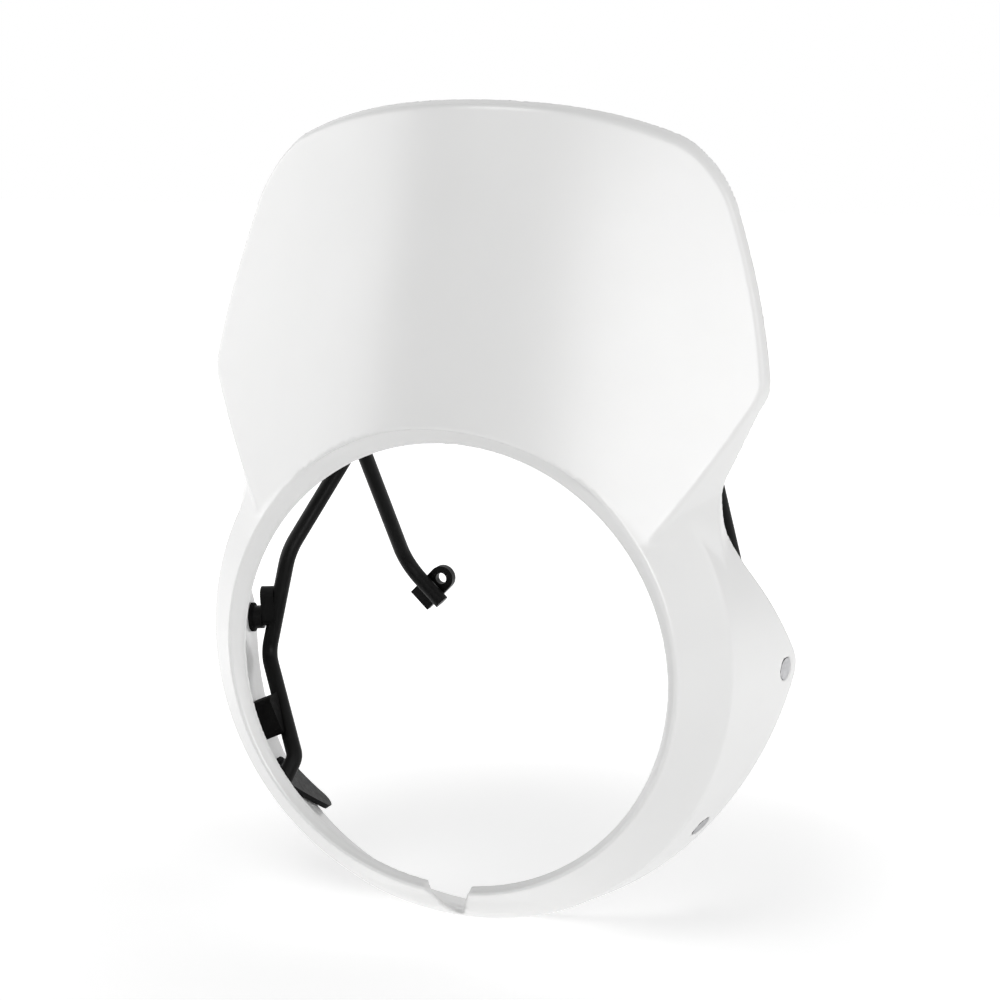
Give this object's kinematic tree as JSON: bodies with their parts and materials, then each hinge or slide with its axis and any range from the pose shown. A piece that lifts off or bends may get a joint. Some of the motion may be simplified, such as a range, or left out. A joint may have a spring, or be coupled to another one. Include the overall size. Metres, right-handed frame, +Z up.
{
  "type": "headlight cowl",
  "caption": "White moulded motorbike headlight cowl: leaned fly-screen face over a round lamp ring with side ears, carried by black bent-rod stays with eye tabs.",
  "frame": {"origin": "on the axis of the round lamp opening, just behind the front edge of its straight bore", "axes": "+Z up, -Y out of the front of the lamp opening, +X to the right of someone facing the front"},
  "size_m": [0.251, 0.1542, 0.3387],
  "materials": {
    "white_plastic": "gloss",
    "black_metal": "semi-gloss",
    "black_rubber": "matte",
    "zinc_screw": "satin"
  },
  "bodies": {
    "root": {"cowl_shell": "white_plastic", "stay_rod_right": "black_metal", "stay_rod_left": "black_metal", "eye_tab_right": "black_metal", "eye_tab_left": "black_metal", "boss_plate_right": "black_metal", "boss_plate_left": "black_metal", "boss_right": "black_metal", "boss_left": "black_metal", "upper_washer_right": "black_rubber", "upper_washer_left": "black_rubber", "upper_screw_right": "zinc_screw", "upper_screw_left": "zinc_screw", "damper_right": "black_rubber", "damper_left": "black_rubber", "foot_tab_right": "black_metal", "foot_tab_left": "black_metal", "foot_washer_right": "black_rubber", "foot_washer_left": "black_rubber", "foot_screw_right": "zinc_screw", "foot_screw_left": "zinc_screw"}
  },
  "joints": []
}
